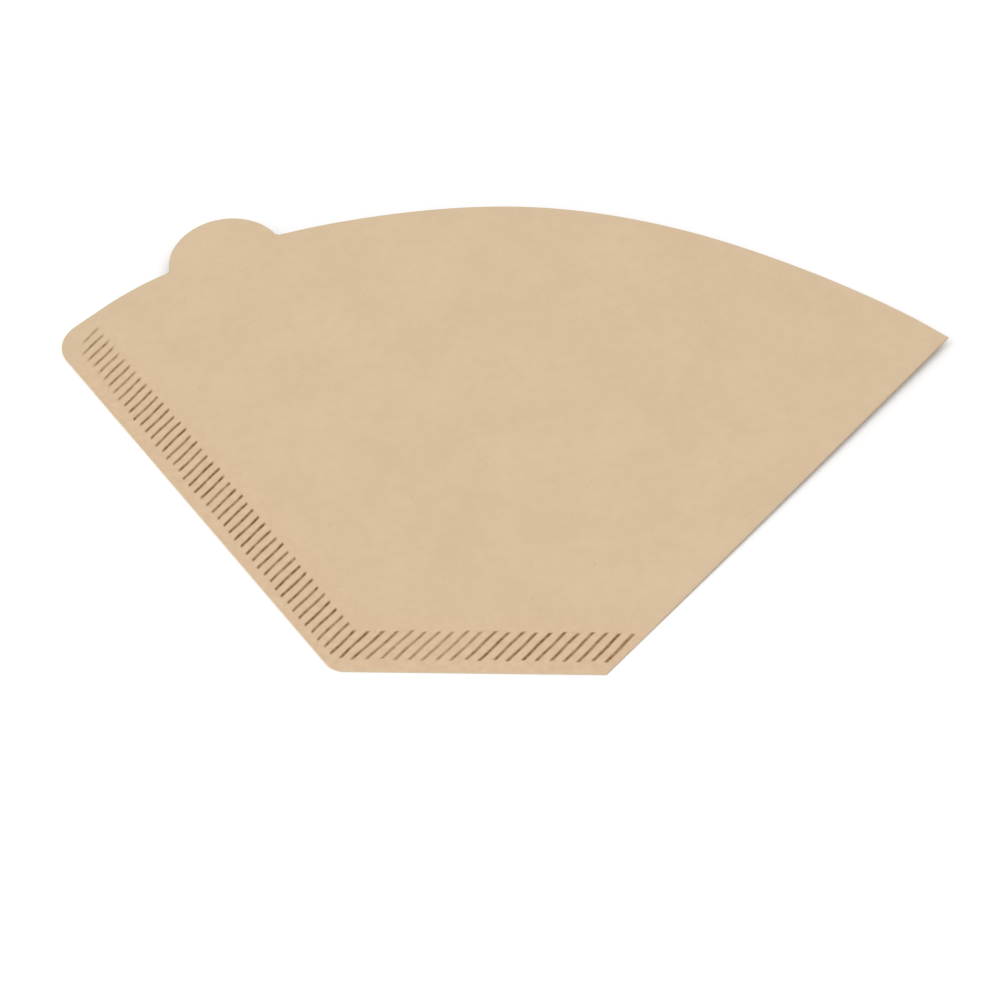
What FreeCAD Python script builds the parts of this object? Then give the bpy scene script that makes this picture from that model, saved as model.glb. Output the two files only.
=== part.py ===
import FreeCAD, Part
import math
import os

# A flat paper coffee filter: one sheet of paper, folded once and crimped to itself along two edges. Millimetres.
# While it is built, the bottom edge lies on Y = 0, the open mouth is towards +Y, the crimped side is on the left
# (-X), the fold is on the right (+X), and the lower ply rests on Z = 0.

# Paper
paper_thickness = 0.15
least_gap = 0.03  # the plies never come closer than this inside the pocket

# Outline of the folded sheet
bottom_edge = 46.7  # the short straight edge, from the crimped side to the fold
seam_edge = 101.1  # the crimped side, to the sharp corner that it would make with the mouth's circle
seam_angle = 36.3  # the crimped side's lean out of the middle line, in degrees
fold_edge = 102.0  # the fold, to the mouth
fold_angle = 37.3  # the fold's lean the other way, in degrees
mouth_radius = 125.3
shoulder_radius = 58.0  # of the mouth's last stretch before the crimped side, which bends faster
shoulder_length = 25.0  # of that stretch, measured along the mouth's own circle
mouth_corner_radius = 7.0
bottom_corner_radius = 4.0

# Tab on the upper ply, for picking one filter up and opening it
tab_radius = 11.0
tab_reach = 8.7  # how far it stands out past the mouth
tab_from_corner = 38.0  # along the mouth's circle, from the crimped side to the tab's middle
tab_fillet = 1.0

# Crimps: straight embossed lines side by side in a band along the bottom edge and the crimped side.
# They lean the same way as the fold, and the lean, in degrees, turns evenly from one end of each edge to the other.
bottom_first = 1.87  # from the corner where the fold ends to the first line, along the bottom edge
bottom_pitch = 2.43  # from line to line along the bottom edge
bottom_leans = (35.3, 38.3)  # at the fold and at the crimped side
bottom_margin = 2.7  # plain paper between the bottom edge and the band
seam_first = 0.84  # from the foot of the crimped side to its first line
seam_pitch = 2.006  # from line to line along the crimped side
seam_leans = (35.9, 30.4)  # at the side's foot and at the mouth
seam_margin = 1.5  # plain paper between the crimped side's foot and the band
seam_widening = 1.4  # how much more plain paper there is at the mouth
crimp_band = 6.6  # width of the band
crimp_width = 0.6
crimp_depth = 0.11
crimp_mouth_clearance = 4.0  # between the last line and the mouth's circle
pocket_margin = 0.7  # plain paper between the band and the pocket

# How the pressed filter springs open, in the upright plane that just clears the mouth's highest point.
# Each ply is a spline there, with its poles at even steps from the pocket's edge to the fold. Both have the same
# steps, so the plies never cross while every gap is above nought.
mouth_gaps = (3.0, 3.2, 4.4, 2.8, 0.15)  # between the plies, at the poles between the pocket's edge and the fold
fold_gap = 0.4
fold_curl = (0.4, 2.1)  # how far the lower ply's last poles, up to the fold, stand off the table
fold_facets = 4  # flats that round the fold
ply_degree = 3  # of the plies' splines

# Cutting tools pass the surfaces that they cut by this much. Four points are flat within this volume.
overcut = 1.0
flatness = 1e-6

seam_slope = math.tan(math.radians(seam_angle))
fold_slope = math.tan(math.radians(fold_angle))
seam_foot = -bottom_edge / 2
fold_foot = bottom_edge / 2
pressed = 2 * paper_thickness
pocket_inset = max(bottom_margin, seam_margin + seam_widening) + crimp_band + pocket_margin


def along_side(foot, angle, length):
    """The point of the plan that lies a length up a side that leaves the bottom edge at foot."""
    lean = math.radians(angle)
    return FreeCAD.Vector(foot + length * math.sin(lean), length * math.cos(lean), 0)


seam_corner = along_side(seam_foot, -seam_angle, seam_edge)
fold_corner = along_side(fold_foot, fold_angle, fold_edge)


def mouth_centre_point():
    """The centre of the mouth's arc, which runs through both its corners and bulges away from the bottom edge."""
    chord = fold_corner - seam_corner
    middle = (fold_corner + seam_corner) * 0.5
    inward = FreeCAD.Vector(chord.y, -chord.x, 0).normalize()
    return middle + inward * math.sqrt(mouth_radius ** 2 - (chord.Length / 2) ** 2)


mouth_centre = mouth_centre_point()
far_y = mouth_centre.y + mouth_radius + overcut


def on_mouth(angle, radius):
    """A point at an angle from +Y, clockwise, on a circle about the mouth's centre."""
    return mouth_centre + FreeCAD.Vector(radius * math.sin(angle), radius * math.cos(angle), 0)


def mouth_angle(point):
    return math.atan2(point.x - mouth_centre.x, point.y - mouth_centre.y)


def shoulder():
    """Three points of the mouth's last stretch: where it leaves the mouth's circle, its middle and its sharp end.

    Its arc touches the mouth's circle from inside and ends on the crimped side.
    """
    leaving = mouth_angle(seam_corner) + shoulder_length / mouth_radius
    centre = on_mouth(leaving, mouth_radius - shoulder_radius)
    foot = FreeCAD.Vector(seam_foot, 0, 0)
    side = (seam_corner - foot).normalize()
    to_centre = centre - foot
    nearest = to_centre.dot(side)
    end = foot + side * (nearest + math.sqrt(nearest ** 2 - to_centre.dot(to_centre) + shoulder_radius ** 2))
    start = on_mouth(leaving, mouth_radius)
    middle = centre + ((start + end) * 0.5 - centre).normalize() * shoulder_radius
    return start, middle, end


def seam_x(y, inset=0.0):
    """X of the crimped side, or of a line parallel to it and further in, at a height up the plan."""
    return seam_foot + inset / math.cos(math.radians(seam_angle)) - seam_slope * y


def fold_x(y, inset=0.0):
    return fold_foot - inset / math.cos(math.radians(fold_angle)) + fold_slope * y


def ply_curls():
    """How far the ply lines' poles stand up for the fold's curl."""
    flat_poles = len(mouth_gaps) + 2 - len(fold_curl)
    return (0.0,) * flat_poles + fold_curl


def ply_spline(y, left, right, height, gaps):
    """The line of one ply in an upright plane, from the pocket's edge to the fold, a gap above the curl."""
    steps = len(gaps) - 1
    poles = []
    for index, (gap, curl) in enumerate(zip(gaps, ply_curls())):
        x = left + (right - left) * index / steps
        poles.append(FreeCAD.Vector(x, y, height + gap + curl))
    spline = Part.BSplineCurve()
    spline.buildFromPoles(poles, False, ply_degree)
    return spline


def lower_ply(y, left, right, height, opened):
    """The lower ply's line as two edges: the part that stays flat on the table, and the part that may curl.

    A spline of this degree leaves the table one degree's number of poles before the first pole that stands up.
    """
    poles = len(mouth_gaps) + 2
    flat = max(poles - len(fold_curl) - ply_degree, 1) / (poles - ply_degree)
    if opened:
        spline = ply_spline(y, left, right, height, (0.0,) * poles)
        knee = spline.value(flat)
        spline.segment(flat, 1.0)
        curling = spline.toShape()
    else:
        knee = FreeCAD.Vector(left + (right - left) * flat, y, height)
        curling = Part.makeLine(knee, FreeCAD.Vector(right, y, height))
    return [Part.makeLine(FreeCAD.Vector(left, y, height), knee), curling]


def upper_ply(y, left, right, height, opened, seam_gap):
    if opened:
        return ply_spline(y, left, right, height, (seam_gap,) + mouth_gaps + (fold_gap,)).toShape()
    return Part.makeLine(FreeCAD.Vector(left, y, height + seam_gap), FreeCAD.Vector(right, y, height + seam_gap))


def fold_bend(low, high):
    """The half round that joins the plies at the fold, in short flats from the lower ply's end to the upper's."""
    middle = (low + high) * 0.5
    radius = (high.z - low.z) / 2
    points = []
    for index in range(fold_facets + 1):
        turn = math.pi * index / fold_facets
        points.append(middle + FreeCAD.Vector(radius * math.sin(turn), 0, -radius * math.cos(turn)))
    return [Part.makeLine(start, end) for start, end in zip(points, points[1:])]


def sheet_section(y, opened):
    """The edges of the folded sheet cut across at a height up the plan, as if its pocket were solid.

    Pressed flat, both plies are level. Opened, they part at the mouth and curl up at the fold.
    """
    bend = paper_thickness + (fold_gap / 2 if opened else 0.0)
    left = seam_x(y) - overcut
    band = seam_x(y, pocket_inset)
    right = fold_x(y) - bend
    lower = lower_ply(y, band, right, 0, opened)
    upper = upper_ply(y, band, right, pressed, opened, 0.0)
    outer_low = FreeCAD.Vector(left, y, 0)
    outer_high = FreeCAD.Vector(left, y, pressed)
    return [
        Part.makeLine(outer_low, FreeCAD.Vector(band, y, 0)),
        *lower,
        *fold_bend(end_of(lower[-1]), end_of(upper)),
        upper,
        Part.makeLine(FreeCAD.Vector(band, y, pressed), outer_high),
        Part.makeLine(outer_high, outer_low),
    ]


def pocket_section(y, opened):
    """The edges of the space between the plies, everywhere one paper's thickness inside the sheet."""
    gap = fold_gap if opened else least_gap
    left = seam_x(y, pocket_inset)
    right = fold_x(y) - paper_thickness - gap / 2
    lower = lower_ply(y, left, right, paper_thickness, opened)
    upper = upper_ply(y, left, right, paper_thickness, opened, least_gap)
    return [
        *lower,
        *fold_bend(end_of(lower[-1]), end_of(upper)),
        upper,
        Part.makeLine(start_of(upper), start_of(lower[0])),
    ]


def start_of(edge):
    return edge.valueAt(edge.FirstParameter)


def end_of(edge):
    return edge.valueAt(edge.LastParameter)


def strip_between(near, far):
    """The face between two edges that run the same way: flat where both are straight in one plane, else ruled."""
    corners = [start_of(near), end_of(near), end_of(far), start_of(far)]
    sides = [corner - corners[0] for corner in corners[1:]]
    straight = all(isinstance(edge.Curve, Part.Line) for edge in (near, far))
    if straight and abs(sides[0].cross(sides[1]).dot(sides[2])) < flatness:
        return Part.Face(Part.makePolygon(corners + corners[:1]))
    return Part.makeRuledSurface(near, far)


def solid_through(sections):
    """The solid whose straight rulings join each section's edges to the next section's."""
    faces = [Part.Face(Part.Wire(section)) for section in (sections[0], sections[-1])]
    for near, far in zip(sections, sections[1:]):
        faces.extend(strip_between(*pair) for pair in zip(near, far))
    shell = Part.makeShell(faces)
    shell.sewShape()
    solid = Part.makeSolid(Part.Shell(shell.Faces))
    return solid if solid.Volume > 0 else solid.reversed()


def folded_sheet():
    """The sheet from below the bottom edge to past the mouth: flat over the crimped band, then opening."""
    return solid_through([
        sheet_section(-overcut, False),
        sheet_section(pocket_inset, False),
        sheet_section(far_y, True),
    ])


def pocket():
    return solid_through([pocket_section(pocket_inset, False), pocket_section(far_y, True)])


def vertical_edge_near(solid, point):
    """The upright edge of a solid that stands closest to a point of the plan."""
    def is_upright(edge):
        ends = [vertex.Point for vertex in edge.Vertexes]
        return len(ends) == 2 and math.hypot(ends[0].x - ends[1].x, ends[0].y - ends[1].y) < 1e-6

    def distance(edge):
        at = edge.Vertexes[0].Point
        return math.hypot(at.x - point.x, at.y - point.y)

    return min(filter(is_upright, solid.Edges), key=distance)


def trimming_solid():
    """What the die leaves: the plan's outline as an upright prism, wider than the sheet past the fold.

    The tab starts between the plies, so that only the upper one has it.
    """
    height = pressed + max(mouth_gaps) + fold_gap + max(fold_curl) + overcut
    right = fold_x(0, -overcut)
    past_fold = mouth_angle(fold_corner) + 2 * overcut / mouth_radius
    shoulder_start, shoulder_middle, shoulder_end = shoulder()
    crown = (past_fold + mouth_angle(shoulder_start)) / 2

    bottom_left = FreeCAD.Vector(seam_foot, 0, 0)
    bottom_right = FreeCAD.Vector(right, 0, 0)
    mouth_right = on_mouth(past_fold, mouth_radius)
    outline = Part.Wire([
        Part.makeLine(bottom_left, bottom_right),
        Part.makeLine(bottom_right, mouth_right),
        Part.Arc(mouth_right, on_mouth(crown, mouth_radius), shoulder_start).toShape(),
        Part.Arc(shoulder_start, shoulder_middle, shoulder_end).toShape(),
        Part.makeLine(shoulder_end, bottom_left),
    ])
    fan = Part.Face(outline).extrude(FreeCAD.Vector(0, 0, height + overcut))
    fan.translate(FreeCAD.Vector(0, 0, -overcut))
    fan = fan.makeFillet(mouth_corner_radius, [vertical_edge_near(fan, shoulder_end)])
    fan = fan.makeFillet(bottom_corner_radius, [vertical_edge_near(fan, bottom_left)])

    tab_angle = mouth_angle(seam_corner) + tab_from_corner / mouth_radius
    tab_distance = mouth_radius + tab_reach - tab_radius
    tab_centre = on_mouth(tab_angle, tab_distance)
    between_plies = paper_thickness + least_gap / 2
    tab = Part.makeCylinder(tab_radius, height - between_plies, tab_centre + FreeCAD.Vector(0, 0, between_plies))
    trimmed = fan.fuse(tab)

    # The angle, seen from the mouth's centre, between the tab's middle and where its circle crosses the mouth
    cosine = (mouth_radius ** 2 + tab_distance ** 2 - tab_radius ** 2) / (2 * mouth_radius * tab_distance)
    half = math.acos(cosine)
    for side in (-1, 1):
        junction = on_mouth(tab_angle + side * half, mouth_radius)
        trimmed = trimmed.makeFillet(tab_fillet, [vertical_edge_near(trimmed, junction)])
    return trimmed


def leaning(leans, share):
    """Direction of the crimp line a share of the way along its edge, where the lean turns from one to the other."""
    lean = math.radians(leans[0] + (leans[1] - leans[0]) * share)
    return FreeCAD.Vector(math.sin(lean), math.cos(lean), 0)


def bottom_crimp(at):
    """The crimp line that leaves the bottom edge at a distance from the fold's foot: its foot and direction."""
    return FreeCAD.Vector(fold_foot - at, 0, 0), leaning(bottom_leans, at / bottom_edge)


def seam_crimp(at):
    """The crimp line that leaves the crimped side at a distance from the side's foot."""
    return along_side(seam_foot, -seam_angle, at), leaning(seam_leans, at / seam_edge)


def crimp_span(foot, along):
    """How far along its line a crimp starts, clear of both edges' margins, and ends, past both bands."""
    side = math.radians(seam_angle)
    band = side - math.atan(seam_widening / seam_edge)
    band_foot = FreeCAD.Vector(seam_foot + seam_margin * math.cos(side), seam_margin * math.sin(side), 0)
    inward = FreeCAD.Vector(math.cos(band), math.sin(band), 0)
    spans = []
    for depth in (0.0, crimp_band):
        past_bottom = (bottom_margin + depth - foot.y) / along.y
        past_seam = (depth - (foot - band_foot).dot(inward)) / along.dot(inward)
        spans.append(max(past_bottom, past_seam))
    return spans


def groove(line, surface, outward):
    """A V groove along one crimp line, open to the surface on the side that outward (1 or -1) names."""
    foot, along = line
    start, end = crimp_span(foot, along)
    across = FreeCAD.Vector(along.y, -along.x, 0)
    spread = (crimp_width / 2) * (1 + overcut / crimp_depth)
    root = foot + along * start + FreeCAD.Vector(0, 0, surface - outward * crimp_depth)
    brim = foot + along * start + FreeCAD.Vector(0, 0, surface + outward * overcut)
    section = Part.makePolygon([root, brim + across * spread, brim - across * spread, root])
    return Part.Face(section).extrude(along * (end - start))


def clears_mouth(line):
    foot, along = line
    inner_end = foot + along * crimp_span(foot, along)[1]
    return (inner_end - mouth_centre).Length < mouth_radius - crimp_mouth_clearance


def crimps():
    """Grooves on the upper face, and halfway between them grooves on the lower face, as meshing teeth press them."""
    grooves = []
    at = bottom_first
    while at < bottom_edge:
        grooves.append(groove(bottom_crimp(at), pressed, 1))
        grooves.append(groove(bottom_crimp(at + bottom_pitch / 2), 0.0, -1))
        at += bottom_pitch
    at = seam_first
    while clears_mouth(seam_crimp(at)):
        grooves.append(groove(seam_crimp(at), pressed, 1))
        grooves.append(groove(seam_crimp(at + seam_pitch / 2), 0.0, -1))
        at += seam_pitch
    grooves.pop()
    return grooves


def paper_filter():
    shape = folded_sheet().common(trimming_solid()).cut(pocket()).cut(crimps())
    solid = shape.removeSplitter().Solids[0]
    box = solid.optimalBoundingBox()
    solid.translate(FreeCAD.Vector(-box.Center.x, -box.Center.y, -box.ZMin))
    return solid


os.makedirs("parts", exist_ok=True)
paper_filter().exportStep("parts/paper_filter.step")
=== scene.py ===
import math

import bpy
import numpy as np
from mathutils import Matrix, Vector


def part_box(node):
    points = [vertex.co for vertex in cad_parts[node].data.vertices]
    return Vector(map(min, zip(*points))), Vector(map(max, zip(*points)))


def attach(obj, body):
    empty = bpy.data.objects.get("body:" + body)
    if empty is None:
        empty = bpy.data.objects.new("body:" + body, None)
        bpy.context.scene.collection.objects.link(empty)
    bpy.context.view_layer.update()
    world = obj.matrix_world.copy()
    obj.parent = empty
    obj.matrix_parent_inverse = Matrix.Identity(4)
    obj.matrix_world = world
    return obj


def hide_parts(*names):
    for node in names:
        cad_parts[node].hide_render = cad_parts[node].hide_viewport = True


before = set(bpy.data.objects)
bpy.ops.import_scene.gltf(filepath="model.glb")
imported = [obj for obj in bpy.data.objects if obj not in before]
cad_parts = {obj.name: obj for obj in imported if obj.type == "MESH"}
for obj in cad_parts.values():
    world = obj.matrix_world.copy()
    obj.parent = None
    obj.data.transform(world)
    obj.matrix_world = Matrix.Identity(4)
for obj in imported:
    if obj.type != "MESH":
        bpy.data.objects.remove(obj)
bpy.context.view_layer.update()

# A flat paper coffee filter, dressed as one folded sheet of unbleached paper with its crimped edges.
# Sizes are in millimetres, as in the part's source, in a plan whose bottom edge lies on y = 0 with its middle
# at x = 0. The mouth is towards +y, the crimped side on the left and the fold on the right. Angles are in
# degrees, clockwise from +y. The mesh goes to metres, in the frame's own place, at the very end.
MM = 0.001

# Paper
paper_thickness = 0.15
least_gap = 0.01

# Outline of the folded sheet
bottom_edge = 46.7
seam_edge = 101.1
seam_angle = 36.3
fold_edge = 102.0
fold_angle = 37.3
mouth_radius = 125.3
shoulder_radius = 58.0
shoulder_length = 25.0
mouth_corner_radius = 7.0
bottom_corner_radius = 4.0

# Tab on the upper ply
tab_radius = 11.0
tab_reach = 8.7
tab_from_corner = 38.0
tab_fillet = 1.0

# Crimps
bottom_first = 1.87
bottom_pitch = 2.43
bottom_leans = (35.3, 38.3)
bottom_margin = 2.7
seam_first = 0.84
seam_pitch = 2.006
seam_leans = (35.9, 30.4)
seam_margin = 1.5
seam_widening = 1.4
crimp_band = 6.6
crimp_depth = 0.11
crimp_mouth_clearance = 4.0
pocket_margin = 0.7
crimp_spacing = seam_pitch * math.sin(math.radians(seam_angle + sum(seam_leans) / 2))  # square to the lines

# How the plies part towards the mouth, at the even steps of the part's splines
mouth_gaps = (0.0, 3.0, 3.2, 4.4, 2.8, 0.15, 0.4)
fold_curls = (0.0, 0.0, 0.0, 0.0, 0.0, 0.4, 2.1)
far_y = 114.8
spline_steps = 400

# How the upper ply swells and sinks, as shares of the gap under it, and the lengths of those waves
broad_swell = 0.02
broad_across, broad_along = 9, 14
narrow_swell = 0.015
narrow_across, narrow_along = 17, 7

# How finely the outline's arcs are stepped
mouth_steps = 400
tabbed_mouth_steps = 300  # of the mouth's own arc, from the fold to the tab
shoulder_steps = 60
tab_steps = 80
bottom_corner_steps = 40
corner_steps = 24
fillet_steps = 8
link_steps = 10  # of the short arc between the tab and the shoulder

# How finely the sheet is drawn
rows_margin = 2  # from the edge to the crimps
rows_band = 16  # along the crimps
rows_field = 14  # from the crimps to the mouth
rows_crowding = 1.5  # how much closer those rows lie towards the mouth, as a power
lead_columns = 3  # from the fold to the first crimp
groove_columns = 7  # close columns on each crimp
groove_reach = 0.36  # how far those reach, each side of a crimp's line
ridge_reach = 0.66  # and one more column each side, where the ridge begins
end_play = 0.25  # how far a crimp's ends may stray past the band, and inside it
corner_columns = 13  # past the last crimp, to the middle of the mouth's rounded corner
corner_gap = 0.1  # from the last column to that middle
corner_band = 0.006  # what is left there of the band's width, as a share
tab_pull_from = 0.6  # where along the columns the tab begins to draw them out
fold_columns = 8  # round the fold
fold_room = 10.0  # width beside the fold that makes room for the bend
past_crimps = 1.0  # how far beyond a crimp all the points past it count as lying
hair = 1e-9  # next to nothing
strip_edge = 0.5  # over which the pressed strip's colour ends inside
sharp_angle = 50  # between faces, in degrees, from which their edge shows as sharp

# How the wheels press, at a few crimps counted from the fold: how strongly the brown and painted shade show,
# over what length the ends fade, and how much later than the others a crimp begins
crimp_darkening_strength = ((0, 8, 13, 20, 50, 58, 65), (1.08, 1.04, 0.64, 1.0, 1.0, 0.86, 0.72))
crimp_fade = ((54, 61), (0.25, 1.3))
crimp_lateness = ((64, 65), (0.0, 1.5))

# How a crimp's brown and painted groove shade differ from the next one's, and along the crimp, with waves in
# radians to a millimetre
wear_seed = 7
crimp_strengths = (0.78, 1.0)
end_brown = 1.05
middle_paling = 0.15  # how much less there is halfway along
patchiness = 0.09
slow_wave = 1.7
quick_wave = 3.6
quick_share = 0.6  # of the quick wave beside the slow one
crimp_flank = 0.2  # over which the brown fades out sideways
crimp_wander = 0.04  # how far a crimp strays sideways
wander_wave = 0.9

# How the strip's colour ends before the mouth: where, and over what length
strip_mouth_clearance = 4.0
strip_mouth_fade = 10.0

# Colours as they look on screen: two shades each of the plain paper and the pressed strip, one of all else
plain_shades = ((212, 187, 155), (219, 195, 163))
strip_shades = ((214, 185, 152), (223, 194, 161))
fleck_colour = (184, 150, 112)
# The crimps' brown is partly the pressed paper's own darkening and partly painted shade in the grooves
crimp_brown_and_shade_colour = (126, 93, 52)
# A painted highlight on the paper's cut edge
cut_highlight_colour = (250, 232, 204)

# The backdrop's white and the floor's own grey, in the linear values that shaders take
white = (1.0, 1.0, 1.0, 1.0)
floor_grey = (0.8, 0.8, 0.8, 1.0)

# The paper's pattern: how large each kind of mark is, how much it counts, and which part of its noise shows
mottle_size, mottle_share = 14, 0.36
cloud_size, cloud_share = 2.2, 0.35
grain_size, grain_share, grain_roughness = 0.35, 0.2, 0.6
tone_range = (0.305, 0.605)
lump_size, lump_range = 1.3, (0.3, 0.7)
fleck_size, fleck_share, fleck_range = 1.1, 0.22, (0.68, 0.76)
darkening_patch_size, darkening_patch_range, darkening_patch_scale = 0.8, (0.3, 0.7), (0.8, 1.12)
# How strongly the painted highlight on the cut edge shows
cut_highlight_share = 0.8
nap_grain, nap_cloud = 0.6, 0.5  # how much each counts in the paper's bumps
nap_depth, nap_strength = 0.05, 0.25

# The mesh's shades
# How dark the crimps are, from 0 to 1: the pressed paper's own brown and painted shade in the grooves
CRIMP_BROWN_AND_SHADE = "crimp_brown_and_groove_shade"  # how much the paper is creased and browned, from 0 to 1
STRIP = "strip_shade"  # whether a point lies in the strip that the crimping wheels press, from 0 to 1
# The faces of the cut edge, which get a painted highlight
CUT_HIGHLIGHT = "cut_edge_highlight"  # 1 on the faces of the paper's cut edge, 0 on the others


def heading(degrees):
    """Unit vectors of the plan at angles clockwise from +y."""
    return np.stack([np.sin(np.radians(degrees)), np.cos(np.radians(degrees))], -1)


def unit(vector):
    """The same direction, one long."""
    return vector / np.linalg.norm(vector)


fold_foot = np.array([bottom_edge / 2, 0.0])
seam_foot = -fold_foot
fold_line = heading(fold_angle)
seam_line = heading(-seam_angle)
seam_inward = np.array([seam_line[1], -seam_line[0]])
band_line = heading(math.degrees(math.atan(seam_widening / seam_edge)) - seam_angle)
band_inward = np.array([band_line[1], -band_line[0]])
band_foot = seam_foot + seam_inward * seam_margin
fold_tip = fold_foot + fold_line * fold_edge
seam_corner = seam_foot + seam_line * seam_edge
pocket_inset = max(bottom_margin, seam_margin + seam_widening) + crimp_band + pocket_margin


def find_mouth_centre():
    """The centre that lies a mouth's radius from both of the mouth's corners, on the bottom edge's side."""
    chord = fold_tip - seam_corner
    inward = unit(np.array([chord[1], -chord[0]]))
    return (fold_tip + seam_corner) / 2 + inward * math.sqrt(mouth_radius ** 2 - chord @ chord / 4)


mouth_centre = find_mouth_centre()


def arc(centre, start, end, steps):
    """Points on the circle about a centre from one point to another, the short way round, at even angles."""
    first, last = (math.atan2(*(point - centre)) for point in (start, end))
    turn = (last - first + math.pi) % (2 * math.pi) - math.pi
    bearings = first + turn * np.linspace(0, 1, steps + 1)
    return centre + np.linalg.norm(start - centre) * np.stack([np.sin(bearings), np.cos(bearings)], -1)


def lengths_of(line):
    """Distance along a line of points, from its first point to each."""
    return np.r_[0, np.cumsum(np.linalg.norm(np.diff(line, axis=0), axis=1))]


def along(line, distances):
    """The points at some distances along a line of points."""
    lengths = lengths_of(line)
    return np.stack([np.interp(distances, lengths, line[:, axis]) for axis in (0, 1)], -1)


def mouth_bearing(point):
    """Angle of a point at the mouth's centre, clockwise from +y, in degrees."""
    return math.degrees(math.atan2(*(point - mouth_centre)))


shoulder_bearing = mouth_bearing(seam_corner) + math.degrees(shoulder_length / mouth_radius)
shoulder_start = mouth_centre + mouth_radius * heading(shoulder_bearing)
shoulder_centre = mouth_centre + (mouth_radius - shoulder_radius) * heading(shoulder_bearing)


def find_corner_centre():
    """Centre of the mouth corner's arc, which touches the crimped side and the shoulder from inside."""
    start = seam_foot + seam_inward * mouth_corner_radius - shoulder_centre
    half = start @ seam_line
    reach = shoulder_radius - mouth_corner_radius
    return shoulder_centre + start + seam_line * (math.sqrt(half ** 2 - start @ start + reach ** 2) - half)


corner_centre = find_corner_centre()
corner_on_mouth = shoulder_centre + unit(corner_centre - shoulder_centre) * shoulder_radius
corner_on_seam = corner_centre - seam_inward * mouth_corner_radius
corner_outward = unit((corner_on_mouth + corner_on_seam) / 2 - corner_centre)
corner_middle = corner_centre + mouth_corner_radius * corner_outward


def closed_edges():
    """The bottom edge and the crimped side, from the fold's foot to the middle of the rounded corner."""
    tangent = bottom_corner_radius / math.tan(math.radians(90 + seam_angle) / 2)
    centre = seam_foot + np.array([tangent, bottom_corner_radius])
    start = seam_foot + np.array([tangent, 0.0])
    end = seam_foot + seam_line * tangent
    return np.concatenate([
        [fold_foot],
        arc(centre, start, end, bottom_corner_steps),
        arc(corner_centre, corner_on_seam, corner_middle, corner_steps),
    ])


def plain_mouth():
    """The lower ply's mouth, from the fold's tip to the middle of the rounded corner."""
    return np.concatenate([
        arc(mouth_centre, fold_tip, shoulder_start, mouth_steps),
        arc(shoulder_centre, shoulder_start, corner_on_mouth, shoulder_steps),
        arc(corner_centre, corner_on_mouth, corner_middle, corner_steps),
    ])


def tab_ends():
    """For each side of the tab: its fillet's centre, and where the fillet leaves the mouth and meets the tab.

    A fillet's centre is a fillet's radius outside both the mouth's circle and the tab's.
    """
    bearing = math.radians(mouth_bearing(seam_corner)) + tab_from_corner / mouth_radius
    to_tab = mouth_radius + tab_reach - tab_radius
    to_fillet = mouth_radius + tab_fillet
    cosine = (to_tab ** 2 + to_fillet ** 2 - (tab_radius + tab_fillet) ** 2) / (2 * to_tab * to_fillet)
    centre = mouth_centre + to_tab * heading(math.degrees(bearing))
    ends = []
    for side in (1, -1):
        fillet = mouth_centre + to_fillet * heading(math.degrees(bearing + side * math.acos(cosine)))
        on_mouth = mouth_centre + unit(fillet - mouth_centre) * mouth_radius
        on_tab = centre + unit(fillet - centre) * tab_radius
        ends.append((fillet, on_mouth, on_tab))
    return centre, ends


def tabbed_mouth():
    """The upper ply's mouth, the same way, out and round the tab."""
    centre, ((fillet, mouth, tab), (other_fillet, other_mouth, other_tab)) = tab_ends()
    return np.concatenate([
        arc(mouth_centre, fold_tip, mouth, tabbed_mouth_steps),
        arc(fillet, mouth, tab, fillet_steps),
        arc(centre, tab, other_tab, tab_steps),
        arc(other_fillet, other_tab, other_mouth, fillet_steps),
        arc(mouth_centre, other_mouth, shoulder_start, link_steps),
        arc(shoulder_centre, shoulder_start, corner_on_mouth, shoulder_steps),
        arc(corner_centre, corner_on_mouth, corner_middle, corner_steps),
    ])


def depth_in_band(points):
    """How far points of the plan lie inside the band's outer line, along whichever closed edge is nearer."""
    return np.minimum(points[..., 1] - bottom_margin, (points - band_foot) @ band_inward)


def crimp_reach(feet, lines, depth):
    """How far along their lines points are this deep inside the bands of both closed edges."""
    past_bottom = (bottom_margin + depth - feet[..., 1]) / lines[..., 1]
    past_seam = (depth - (feet - band_foot) @ band_inward) / (lines @ band_inward)
    return np.maximum(past_bottom, past_seam)


def crimp_lines():
    """Numbers, feet and leans of the lines along the bottom edge and then the crimped side.

    The upper ply's crimps are lines 0, 1, 2 and on, and the fold is the line before them. The last result is
    how many of the lines clear the mouth, and so are crimps.
    """
    bottom_at = np.arange(bottom_first, bottom_edge, bottom_pitch)
    seam_at = np.arange(seam_first, seam_edge, seam_pitch)
    feet = np.concatenate([fold_foot - np.outer(bottom_at, (1, 0)), seam_foot + np.outer(seam_at, seam_line)])
    bottom_turned = np.interp(bottom_at, (0, bottom_edge), bottom_leans)
    leans = np.r_[bottom_turned, np.interp(seam_at, (0, seam_edge), seam_leans)]
    ends = feet + heading(leans) * crimp_reach(feet, heading(leans), crimp_band)[:, None]
    clear = np.linalg.norm(ends - mouth_centre, axis=1) < mouth_radius - crimp_mouth_clearance
    numbers = np.r_[-bottom_first / bottom_pitch, np.arange(len(leans))]
    return numbers, np.concatenate([[fold_foot], feet]), np.r_[fold_angle, leans], np.count_nonzero(clear)


line_numbers, line_feet, line_leans, crimp_count = crimp_lines()
top_crimps = np.arange(crimp_count) + 0.0
under_crimps = top_crimps[:-1] + 0.5


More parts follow.
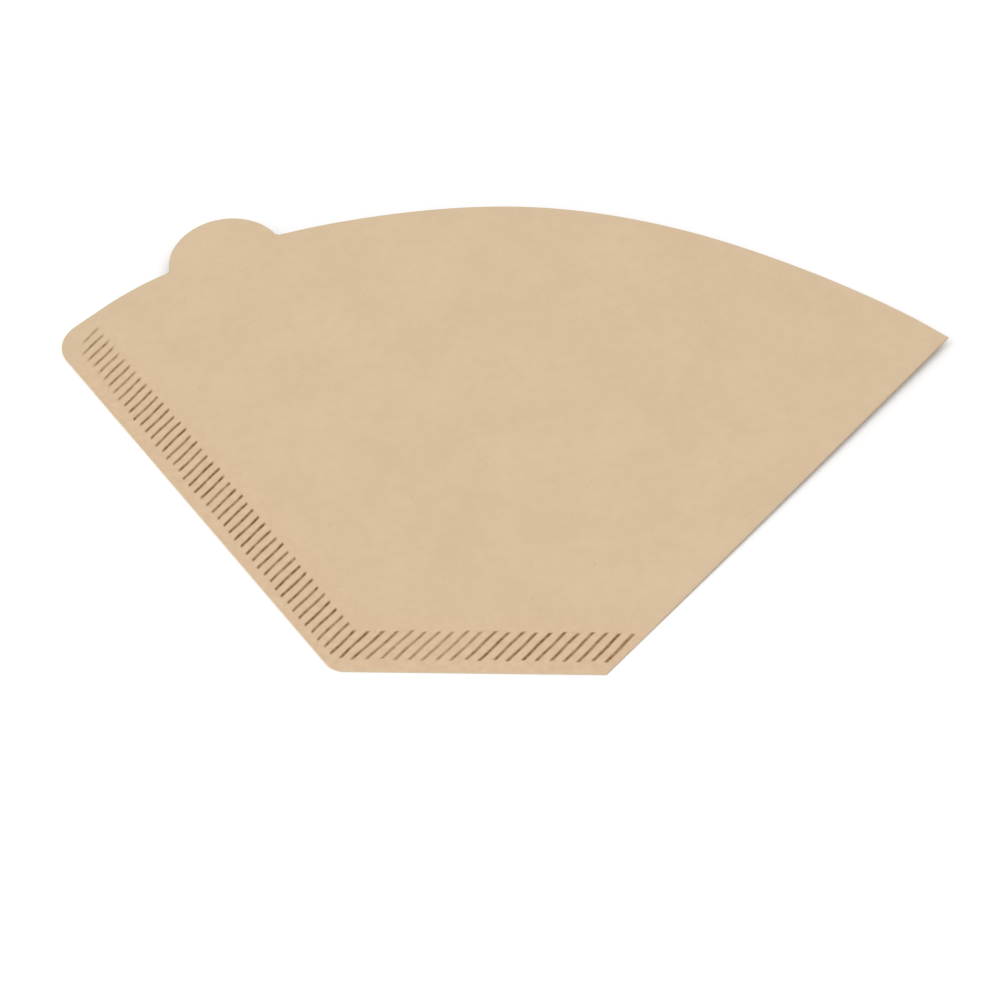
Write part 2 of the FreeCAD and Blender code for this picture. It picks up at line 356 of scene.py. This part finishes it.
def distance_along_edges(edges, points, lines):
    """Where lines through some points cross the closed edges, as distances along them.

    A line crosses the stretch of the edges whose two ends lie on different sides of it.
    """
    to_edges = edges - points[:, None]
    side = lines[:, None, 0] * to_edges[..., 1] - lines[:, None, 1] * to_edges[..., 0]
    after = np.clip(np.argmax(side > hair, axis=1), 1, None)
    row = np.arange(len(points))
    before, beyond = side[row, after - 1], side[row, after]
    lengths = lengths_of(edges)
    return lengths[after - 1] + (lengths[after] - lengths[after - 1]) * before / (before - beyond)


def columns_of(crimps):
    """A ply's columns: their numbers, distances along the closed edges, directions, and shares of the band.

    Each crimp has close columns and one on the ridge at either side. A few more lead from the fold to the
    first crimp. The last columns run out into the mouth's rounded corner, where the band narrows to next to
    nothing.
    """
    close = np.r_[-ridge_reach, np.linspace(-groove_reach, groove_reach, groove_columns), ridge_reach]
    close = close / crimp_spacing
    lead = np.linspace(line_numbers[0], crimps[0] + close[0], lead_columns + 1)[:-1]
    numbers = np.r_[lead, (crimps[:, None] + close).ravel()]
    points = np.stack([np.interp(numbers, line_numbers, line_feet[:, axis]) for axis in (0, 1)], -1)
    lines = heading(np.interp(numbers, line_numbers, line_leans))
    edges = closed_edges()
    at = distance_along_edges(edges, points, lines)
    more = np.linspace(at[-1], lengths_of(edges)[-1] - corner_gap, corner_columns + 1)[1:]
    numbers = np.r_[numbers, numbers[-1] + (more - at[-1]) / seam_pitch]
    lines = np.concatenate([lines, np.tile(heading(seam_leans[1]), (corner_columns, 1))])
    share_of_band = np.r_[np.ones(len(at)), np.linspace(1, corner_band, corner_columns + 1)[1:]]
    return numbers, np.r_[at, more], lines, share_of_band


def plan_of_ply(crimps, tabbed):
    """The plan of one ply as a grid, with rows from the closed edges to the mouth and columns from the fold.

    A column leaves its foot along the crimps, straight until it is past them, then bends as a parabola to
    its own point of the mouth: start + line * length * t + (end - start - line * length) * t^2. The length
    is that from start to end, and falls to next to nothing in the rounded corner, as the band does. At a
    share s of the way round the closed edges, that point lies at s * (1 + s) / 2 of the mouth. The tab is
    drawn out of the plain mouth over the last part of the columns. The other results are each point's
    distance along the crimps from where they begin, the crimps' lengths, and the columns' numbers.
    """
    numbers, feet_at, lines, share_of_band = columns_of(crimps)
    edges = closed_edges()
    feet = along(edges, feet_at)
    begin = crimp_reach(feet, lines, -end_play) * share_of_band
    finish = crimp_reach(feet, lines, crimp_band + end_play) * share_of_band

    share = feet_at / lengths_of(edges)[-1]
    mouth = plain_mouth()
    mouth_length = lengths_of(mouth)[-1]
    mouth_at = mouth_length * share * (1 + share) / 2
    ends = along(mouth, mouth_at)
    pulled = np.zeros_like(ends)
    if tabbed:
        tabbed_line = tabbed_mouth()
        extra = lengths_of(tabbed_line)[-1] - mouth_length
        tip_bearing = mouth_bearing(fold_tip)
        corners = [math.radians(tip_bearing - mouth_bearing(end[1])) * mouth_radius for end in tab_ends()[1]]
        stops = np.array([0.0, *corners, mouth_length])
        tabbed_at = np.interp(mouth_at, stops, stops + np.array([0.0, 0.0, extra, extra]))
        pulled = along(tabbed_line, tabbed_at) - ends

    margin = np.linspace(0, 1, rows_margin + 1)[:-1, None]
    band = (1 - np.cos(np.linspace(0, math.pi, rows_band + 1)))[:-1, None] / 2
    field = 1 - (1 - np.linspace(0, 1, rows_field + 1)) ** rows_crowding
    straight = np.concatenate([margin * begin, begin + band * (finish - begin)])
    near = feet + lines * straight[..., None]
    start = feet + lines * finish[:, None]
    span = (np.linalg.norm(ends - start, axis=1) * share_of_band)[:, None]
    t = field[:, None, None]
    far = start + lines * span * t + (ends - start - lines * span) * t ** 2
    far = far + pulled * np.clip((t - tab_pull_from) / (1 - tab_pull_from), 0, 1) ** 2
    plan = np.concatenate([near, far])
    lengths = finish - begin
    lengthwise = np.concatenate([straight - begin, np.broadcast_to(lengths + past_crimps, far.shape[:2])])
    return plan, lengthwise, lengths, numbers


def spline(heights, shares):
    """Heights at some shares of a ply's width, on a clamped cubic B-spline with its poles at even shares."""
    count, degree = len(heights), 3
    knots = np.r_[np.zeros(degree), np.linspace(0, 1, count - degree + 1), np.ones(degree)]
    t = np.linspace(0, 1, spline_steps + 1)[:, None]
    inside = (knots[:-1] <= t) & (t < knots[1:])
    inside[-1, count - 1] = True
    basis = inside.astype(float)
    for order in range(1, degree + 1):
        rise = knots[order:-1] - knots[:-order - 1]
        fall = knots[order + 1:] - knots[1:-order]
        up = (t - knots[:-order - 1]) / np.where(rise > 0, rise, 1)
        down = (knots[order + 1:] - t) / np.where(fall > 0, fall, 1)
        basis = up * basis[:, :-1] * (rise > 0) + down * basis[:, 1:] * (fall > 0)
    return np.interp(shares, basis @ np.linspace(0, 1, count), basis @ np.array(heights))


def seam_x(y, inset):
    """Where across the plan the line lies that runs beside the crimped side, this far inside it."""
    return seam_foot[0] + inset / math.cos(math.radians(seam_angle)) - math.tan(math.radians(seam_angle)) * y


def fold_x(y):
    """Where across the plan the fold lies."""
    return fold_foot[0] + math.tan(math.radians(fold_angle)) * y


def opening(y):
    """How far the pocket has opened, from 0 at the crimps to 1 just past the mouth."""
    return np.clip((y - pocket_inset) / (far_y - pocket_inset), 0, 1)


def bend_radius(y):
    """Outer radius of the bend at the fold: half of both plies and the gap between them."""
    return paper_thickness + opening(y) * mouth_gaps[-1] / 2


def make_room_for_fold(plan):
    """Squeezes the plan beside the fold inwards, evenly, so that the sheet's bend ends on the fold's line."""
    x, y = plan[..., 0], plan[..., 1]
    from_fold = fold_x(y) - x
    room = bend_radius(y)
    moved = np.where(from_fold < fold_room, room + from_fold * (fold_room - room) / fold_room, from_fold)
    return np.stack([fold_x(y) - moved, y], -1)


def ply_heights(plan):
    """Outer heights of the lower and the upper ply over the plan: opening times spline of the share across.

    The upper ply's gap also swells and sinks by a few hundredths, as paper does.
    """
    x, y = plan[..., 0], plan[..., 1]
    left = seam_x(y, pocket_inset)
    across = np.clip((x - left) / (fold_x(y) - bend_radius(y) - left), 0, 1)
    curl = opening(y) * spline(fold_curls, across)
    gap = opening(y) * spline(mouth_gaps, across)
    broad = broad_swell * np.sin(x / broad_across + np.sin(y / broad_along))
    narrow = narrow_swell * np.sin(y / narrow_along - x / narrow_across)
    return curl, curl + gap * (1 + broad + narrow) + 2 * paper_thickness


def crimp_pattern(crimps, numbers, lengthwise, lengths, rng):
    """How deep each point of a ply is pressed, from 0 to 1, and how brown, partly with painted shade in the
    groove.

    Across a crimp the depth falls off as half a cosine and the brown and painted shade as a smooth step.
    Along it both come and go within a fade. Each crimp has its own strength and ends, wanders a little, is
    slowly uneven, and is browner towards its ends.
    """
    nearest = np.clip(np.rint(numbers - crimps[0]), 0, len(crimps) - 1).astype(int)
    strength = rng.uniform(*crimp_strengths, len(crimps)) * np.interp(crimps, *crimp_darkening_strength)
    early = rng.uniform(0, 2 * end_play, len(crimps)) + np.interp(crimps, *crimp_lateness)
    late = rng.uniform(0, 2 * end_play, len(crimps))
    phase = rng.uniform(0, 2 * math.pi, len(crimps))
    wander = crimp_wander * np.sin(lengthwise * wander_wave + 3 * phase[nearest])
    from_line = np.clip(np.abs((numbers - crimps[nearest]) * crimp_spacing - wander), 0, groove_reach)
    hollow = 0.5 + 0.5 * np.cos(math.pi * from_line / groove_reach)
    flank = np.clip((groove_reach - from_line) / crimp_flank, 0, 1)
    fade = np.interp(crimps, *crimp_fade)[nearest]
    rise = np.clip((lengthwise - early[nearest]) / fade, 0, 1)
    fall = np.clip((lengths - late[nearest] - lengthwise) / fade, 0, 1)
    share = np.clip(lengthwise / lengths, 0, 1)
    slow = np.sin(lengthwise * slow_wave + phase[nearest])
    quick = np.sin(lengthwise * quick_wave + 2 * phase[nearest])
    uneven = end_brown - middle_paling * np.sin(math.pi * share) + patchiness * (slow + quick_share * quick)
    # This brown is partly the pressed paper's own and partly painted shade in the groove
    brown = flank * flank * (3 - 2 * flank) * rise * fall * strength[nearest] * uneven
    return hollow * rise * fall, np.clip(brown, 0, 1)


def ply(crimps, tabbed, rng):
    """One ply's grid: plan, pressed depth, and the two shades, all with rows from edge to mouth."""
    plan, lengthwise, lengths, numbers = plan_of_ply(crimps, tabbed)
    depth, brown = crimp_pattern(crimps, numbers, lengthwise, lengths, rng)
    plan = make_room_for_fold(plan)
    strip = np.clip((crimp_band + strip_edge - depth_in_band(plan)) / strip_edge, 0, 1)
    from_mouth = mouth_radius - np.linalg.norm(plan - mouth_centre, axis=-1)
    strip = strip * np.clip((from_mouth - strip_mouth_clearance) / strip_mouth_fade, 0, 1)
    return plan, depth, {CRIMP_BROWN_AND_SHADE: brown, STRIP: strip}


def folded_sheet():
    """The whole sheet's outer and inner faces as two grids, from the lower ply, round the fold, to the upper.

    Round the fold, at an angle a from 0 under it to 180 over it, a point lies at the bend's middle plus
    radius times (sin a, -cos a) in the upright plane across the filter.
    """
    rng = np.random.default_rng(wear_seed)
    under_plan, under_depth, under_shades = ply(under_crimps, False, rng)
    over_plan, over_depth, over_shades = ply(top_crimps, True, rng)
    under_z = ply_heights(under_plan)[0]
    over_z = ply_heights(over_plan)[1]
    spacing = paper_thickness - least_gap / 2

    under_outer = np.concatenate([under_plan, (under_z + under_depth * crimp_depth)[..., None]], -1)
    under_inner = np.concatenate([under_plan, (under_z + spacing)[..., None]], -1)
    over_outer = np.concatenate([over_plan, (over_z - over_depth * crimp_depth)[..., None]], -1)
    over_inner = np.concatenate([over_plan, (over_z - spacing)[..., None]], -1)

    angles = np.linspace(0, math.pi, fold_columns + 1)[1:-1]
    low, high = under_outer[:, :1], over_outer[:, :1]
    middle = (low + high) / 2
    radius = (high - low)[..., 2:] / 2
    direction = np.stack([np.sin(angles), np.zeros_like(angles), -np.cos(angles)], -1)
    bend_outer = middle + radius * direction
    bend_inner = middle + np.maximum(radius - spacing, least_gap / 2) * direction

    outer = np.concatenate([under_outer[:, ::-1], bend_outer, over_outer], axis=1)
    inner = np.concatenate([under_inner[:, ::-1], bend_inner, over_inner], axis=1)
    shades = {}
    for name in (CRIMP_BROWN_AND_SHADE, STRIP):
        between = np.zeros(bend_outer.shape[:2])
        shades[name] = np.concatenate([under_shades[name][:, ::-1], between, over_shades[name]], axis=1)
    return outer, inner, shades


def plan_origin():
    """The plan's origin in the frame, from the box's near side, the bottom edge, and right side, the tip."""
    low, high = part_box("paper_filter")
    return np.array([high.x - fold_tip[0] * MM, low.y, low.z])


def thick_sheet(name, outer, inner, shades):
    """A closed mesh of two grids, the outer one facing out and the inner one in, and a rim that joins them.

    The rim is the paper's cut edge. The shades are each grid point's, and nought on the inner grid.
    """
    rows, columns = outer.shape[:2]
    index = np.arange(rows * columns).reshape(rows, columns)
    quads = np.stack([index[:-1, :-1], index[1:, :-1], index[1:, 1:], index[:-1, 1:]], -1).reshape(-1, 4)
    inner_quads = quads[:, ::-1] + rows * columns
    loop = np.r_[index[0, :-1], index[:-1, -1], index[-1, :0:-1], index[:0:-1, 0]]
    following = np.roll(loop, -1)
    rim = np.stack([loop, following, following + rows * columns, loop + rows * columns], -1)
    faces = np.concatenate([quads, inner_quads, rim])

    points = np.concatenate([outer.reshape(-1, 3), inner.reshape(-1, 3)]) * MM + plan_origin()
    mesh = bpy.data.meshes.new(name)
    mesh.from_pydata(points, [], faces.tolist())
    mesh.polygons.foreach_set("use_smooth", np.ones(len(faces), bool))
    for shade, values in shades.items():
        attribute = mesh.attributes.new(shade, "FLOAT", "POINT")
        both = np.concatenate([values.ravel(), 0 * values.ravel()])
        attribute.data.foreach_set("value", both.astype(np.float32))
    # The rim's faces, for the painted highlight on the cut edge
    cut = mesh.attributes.new(CUT_HIGHLIGHT, "FLOAT", "FACE")
    cut.data.foreach_set("value", (np.arange(len(faces)) >= len(faces) - len(rim)).astype(np.float32))
    mesh.set_sharp_from_angle(angle=math.radians(sharp_angle))
    mesh.update()
    piece = bpy.data.objects.new(name, mesh)
    bpy.context.scene.collection.objects.link(piece)
    return piece


def srgb(red, green, blue):
    """A colour as it looks on screen, from 0 to 255, in the linear values that shaders take."""
    scaled = np.array([red, green, blue]) / 255
    linear = np.where(scaled <= 0.04045, scaled / 12.92, ((scaled + 0.055) / 1.055) ** 2.4)
    return (*linear, 1.0)


class Nodes:
    """Shorthand for building one material's nodes."""

    def __init__(self, material):
        material.use_nodes = True
        self.tree = material.node_tree
        self.tree.nodes.clear()

    def add(self, kind, settings=(), **inputs):
        """A node of one kind, with its inputs by name, where an underscore stands for a space."""
        node = self.tree.nodes.new(kind)
        for name, value in dict(settings).items():
            setattr(node, name, value)
        for name, value in inputs.items():
            self.feed(node.inputs[name.replace("_", " ")], value)
        return node

    def feed(self, socket, value):
        """Links another node's output into a socket, or sets the socket to a constant."""
        if isinstance(value, bpy.types.NodeSocket):
            self.tree.links.new(value, socket)
        else:
            socket.default_value = value

    def noise(self, where, size, detail=2.0, roughness=0.5):
        """Noise from 0 to 1 with features of about this size in millimetres."""
        scale = 1 / (size * MM)
        node = self.add("ShaderNodeTexNoise", Vector=where, Scale=scale, Detail=detail, Roughness=roughness)
        return node.outputs["Fac"]

    def ramp(self, value, low, high, to_low=0.0, to_high=1.0):
        """Value from low to high, brought to the range from to_low to to_high, and held there outside it."""
        node = self.add("ShaderNodeMapRange", Value=value)
        for name, number in (("From Min", low), ("From Max", high), ("To Min", to_low), ("To Max", to_high)):
            node.inputs[name].default_value = number
        return node.outputs["Result"]

    def maths(self, operation, first, second):
        """One operation on two values, each a number or a socket."""
        node = self.add("ShaderNodeMath", {"operation": operation})
        for socket, value in zip(node.inputs, (first, second)):
            self.feed(socket, value)
        return node.outputs[0]

    def sum_of(self, *parts):
        """The sum of some values, each times its own share."""
        total, *others = [self.maths("MULTIPLY", value, share) for value, share in parts]
        for other in others:
            total = self.maths("ADD", total, other)
        return total

    def blend(self, factor, first, second):
        """Mixes two colours, each a colour or a socket."""
        node = self.add("ShaderNodeMix", {"data_type": "RGBA"})
        for index, value in ((0, factor), (6, first), (7, second)):
            self.feed(node.inputs[index], value)
        return node.outputs[2]

    def shade(self, name):
        """One of the mesh's shades."""
        return self.add("ShaderNodeAttribute", {"attribute_name": name}).outputs["Fac"]


def filter_paper():
    """Unbleached paper: mottle, faint flecks, a warmer lumpy strip, brown crimps with painted shade in their
    grooves, and a painted highlight on the cut edge.
    """
    material = bpy.data.materials.new("filter_paper")
    n = Nodes(material)
    where = n.add("ShaderNodeTexCoord").outputs["Object"]

    mottle = n.noise(where, mottle_size, detail=3)
    cloud = n.noise(where, cloud_size, detail=3)
    grain = n.noise(where, grain_size, detail=3, roughness=grain_roughness)
    tone = n.sum_of((mottle, mottle_share), (cloud, cloud_share), (grain, grain_share))
    plain = n.blend(n.ramp(tone, *tone_range), *(srgb(*shade) for shade in plain_shades))
    lumps = n.ramp(n.noise(where, lump_size), *lump_range)
    strip = n.blend(lumps, *(srgb(*shade) for shade in strip_shades))
    colour = n.blend(n.shade(STRIP), plain, strip)

    flecks = n.ramp(n.noise(where, fleck_size), *fleck_range)
    colour = n.blend(n.maths("MULTIPLY", flecks, fleck_share), colour, srgb(*fleck_colour))
    # The crimps' patchy brown: partly the pressed paper's own, partly painted shade in the grooves
    patchy_darkening = n.ramp(n.noise(where, darkening_patch_size), *darkening_patch_range, *darkening_patch_scale)
    colour = n.blend(n.maths("MULTIPLY", n.shade(CRIMP_BROWN_AND_SHADE), patchy_darkening), colour, srgb(*crimp_brown_and_shade_colour))
    # A painted highlight on the cut edge
    colour = n.blend(n.maths("MULTIPLY", n.shade(CUT_HIGHLIGHT), cut_highlight_share), colour, srgb(*cut_highlight_colour))

    nap = n.sum_of((grain, nap_grain), (cloud, nap_cloud))
    bump = n.add("ShaderNodeBump", Strength=nap_strength, Distance=nap_depth * MM, Height=nap)
    shader = n.add("ShaderNodeBsdfPrincipled", Normal=bump.outputs["Normal"], Roughness=0.93)
    n.feed(shader.inputs["Base Color"], colour)
    n.feed(shader.inputs["Specular IOR Level"], 0.2)
    n.add("ShaderNodeOutputMaterial", Surface=shader.outputs["BSDF"])
    return material


def floor_finish():
    """A matt pale floor that shows the object's shadow, and that the camera sees as white elsewhere."""
    material = bpy.data.materials.new("floor")
    n = Nodes(material)
    seen = n.add("ShaderNodeLightPath")
    straight = n.maths("MAXIMUM", seen.outputs["Is Camera Ray"], seen.outputs["Is Glossy Ray"])
    straight = n.maths("MAXIMUM", straight, seen.outputs["Is Transmission Ray"])
    colour = n.blend(straight, floor_grey, white)
    matt = n.add("ShaderNodeBsdfDiffuse", Color=colour)
    lift = n.add("ShaderNodeEmission", Strength=n.maths("MULTIPLY", straight, 0.04))
    shader = n.add("ShaderNodeAddShader")
    n.feed(shader.inputs[0], matt.outputs["BSDF"])
    n.feed(shader.inputs[1], lift.outputs["Emission"])
    n.add("ShaderNodeOutputMaterial", Surface=shader.outputs["Shader"])
    return material


def lay_floor():
    """A wide level floor, a hair below the filter so that the two don't touch."""
    half = 4.0
    height = -0.02 * MM
    corners = [(-half, -half, height), (half, -half, height), (half, half, height), (-half, half, height)]
    mesh = bpy.data.meshes.new("floor")
    mesh.from_pydata(corners, [], [(0, 1, 2, 3)])
    mesh.materials.append(floor_finish())
    floor = bpy.data.objects.new("floor", mesh)
    bpy.context.scene.collection.objects.link(floor)


def hang_lamp(name, place, size, power):
    """A square soft lamp that points at the filter's middle."""
    data = bpy.data.lights.new(name, "AREA")
    data.size = size
    data.energy = power
    lamp = bpy.data.objects.new(name, data)
    lamp.location = place
    lamp.rotation_euler = (-Vector(place)).to_track_quat("-Z", "Y").to_euler()
    bpy.context.scene.collection.objects.link(lamp)


def light_the_scene():
    """An even white sky, a soft key lamp from the front left and a weaker one from the back right."""
    world = bpy.data.worlds.new("studio")
    world.use_nodes = True
    background = world.node_tree.nodes["Background"]
    background.inputs["Color"].default_value = white
    background.inputs["Strength"].default_value = 0.55
    bpy.context.scene.world = world
    hang_lamp("key", place=(-0.7, -0.5, 1.5), size=1.4, power=12.0)
    hang_lamp("fill", place=(0.8, 0.5, 1.4), size=1.4, power=6.5)


def place_camera():
    """The photograph's camera: its place in the plan, heading, tilt, roll, and lens for a 36 mm sensor."""
    place = np.array([31.50, -375.35, 443.50]) * MM + plan_origin()
    heading_left, below_level, roll = 3.826, 46.777, -2.2345
    data = bpy.data.cameras.new("camera")
    data.sensor_width = 36.0
    data.lens = 122.98
    camera = bpy.data.objects.new("camera", data)
    turn = Matrix.Rotation(math.radians(heading_left), 4, "Z")
    tilt = Matrix.Rotation(math.radians(90 - below_level), 4, "X")
    lean = Matrix.Rotation(math.radians(roll), 4, "Z")
    camera.matrix_world = Matrix.Translation(place) @ turn @ tilt @ lean
    bpy.context.scene.collection.objects.link(camera)
    bpy.context.scene.camera = camera


place_camera()
outer, inner, shades = folded_sheet()
sheet = thick_sheet("filter_sheet", outer, inner, shades)
sheet.data.materials.append(filter_paper())
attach(sheet, "root")
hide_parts("paper_filter")
lay_floor()
light_the_scene()
bpy.context.scene.view_settings.view_transform = "Standard"
